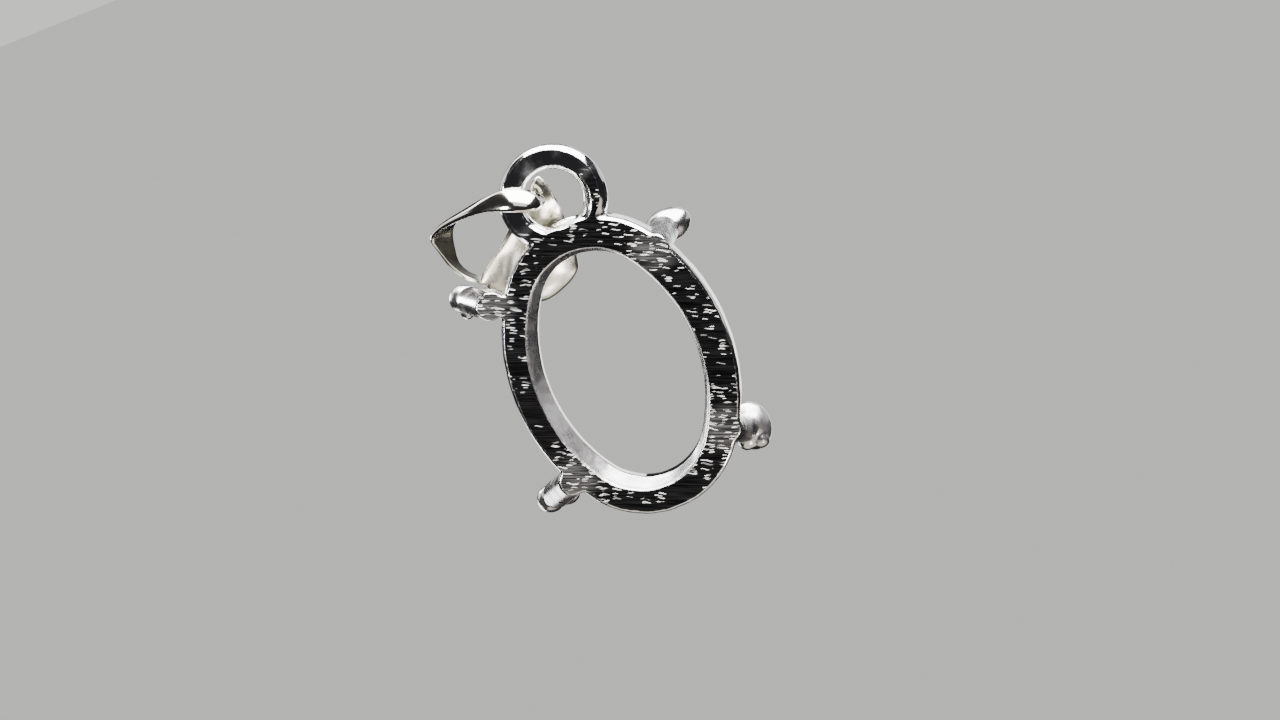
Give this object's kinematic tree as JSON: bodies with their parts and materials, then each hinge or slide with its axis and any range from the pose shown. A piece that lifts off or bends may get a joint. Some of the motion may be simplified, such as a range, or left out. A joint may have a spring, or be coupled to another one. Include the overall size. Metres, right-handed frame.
{
  "type": "pendant setting",
  "caption": "Open oval claw setting for a pendant stone, with its back filed flat, a soldered loop on top and a loose folded leaf bail.",
  "frame": {"origin": "middle of the oval, in the plane of the filed back", "axes": "+Z along the oval's long axis towards the loop, +Y out of the filed back, +X towards the side on which the bail hangs; the claws rise towards -Y"},
  "size_m": [0.0072, 0.0037, 0.0107],
  "materials": {
    "setting_silver": "polished, with a filed back",
    "bail_silver": "polished"
  },
  "bodies": {
    "setting": {"setting": "setting_silver"},
    "bail": {"bail": "bail_silver"}
  },
  "joints": [
    {"name": "bail_swing", "type": "hinge", "parent": "setting", "child": "bail", "pos_m": [0, -0.00026, 0.00496], "axis": [0, -1, 0], "range_deg": [0, 170]}
  ]
}
